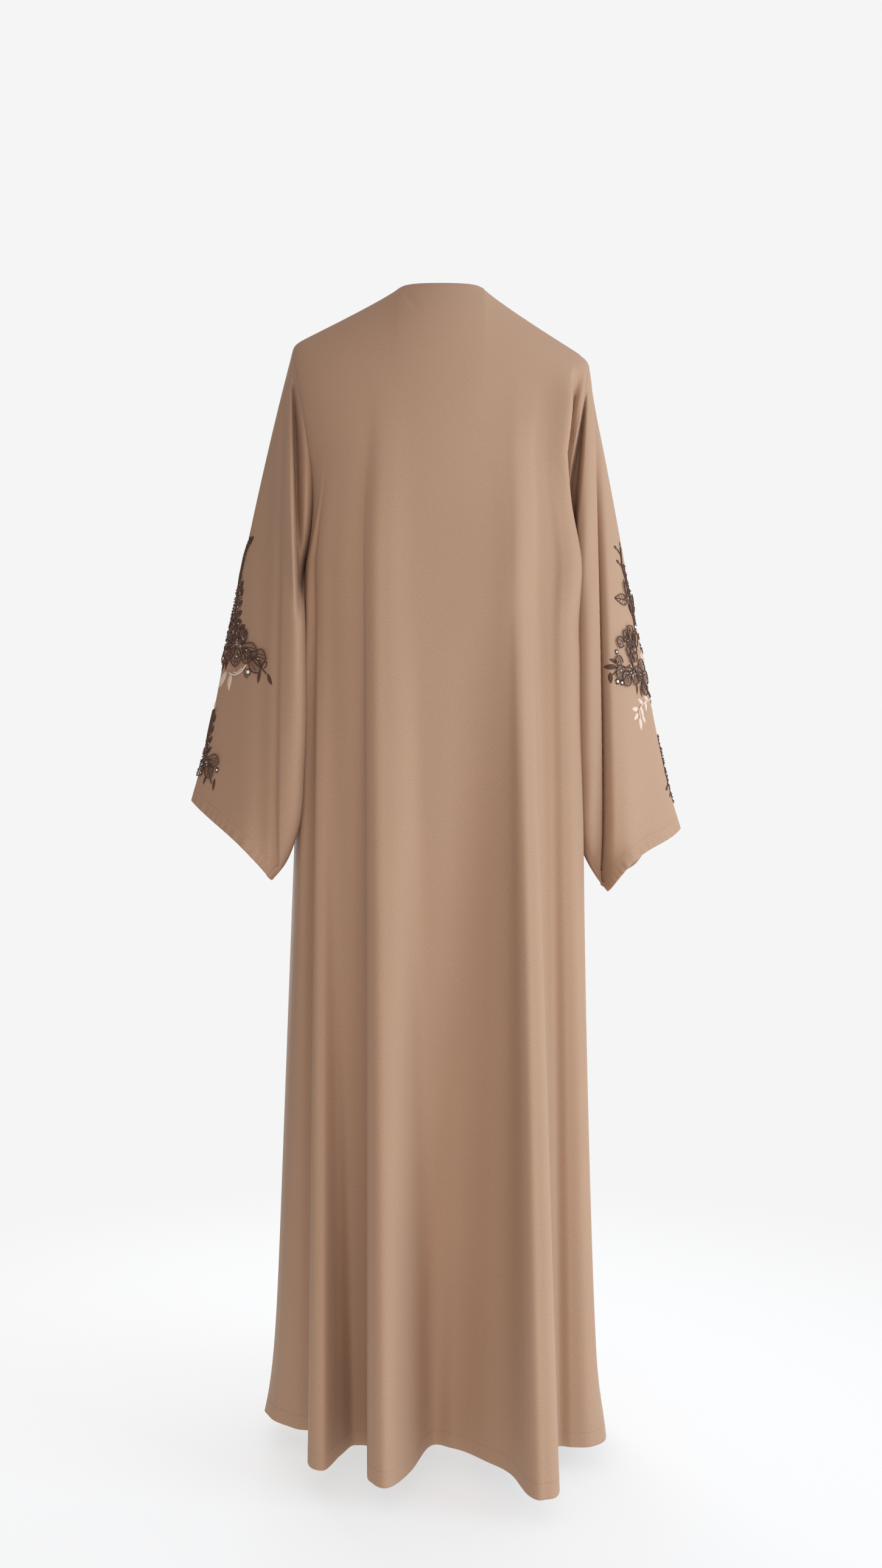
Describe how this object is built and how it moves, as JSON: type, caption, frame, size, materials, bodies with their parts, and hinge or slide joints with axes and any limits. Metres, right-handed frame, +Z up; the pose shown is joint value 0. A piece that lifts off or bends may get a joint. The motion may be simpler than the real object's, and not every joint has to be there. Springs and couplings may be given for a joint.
{
  "type": "abaya cloak",
  "caption": "Long collarless open-front abaya cloak in plain crepe, worn, with wide slanted-cuff sleeves and applied flower sprays on the sleeves.",
  "frame": {"origin": "middle of the neck opening, level with the side-neck points, where the wearer's neck and shoulders hold the cloak", "axes": "+Z up, -Y towards the wearer's front, +X towards the wearer's left"},
  "size_m": [0.6192, 0.3931, 1.4165],
  "materials": {
    "crepe": "matte taupe crepe with a soft sheen",
    "applique": "dark brown organza, satin cord, beads and clear stones"
  },
  "bodies": {
    "root": {"back": "crepe", "front_left": "crepe", "front_right": "crepe", "sleeve_left": "crepe", "sleeve_right": "crepe", "spray_upper_left": "applique", "spray_lower_left": "applique", "spray_upper_right": "applique", "spray_lower_right": "applique"}
  },
  "joints": []
}
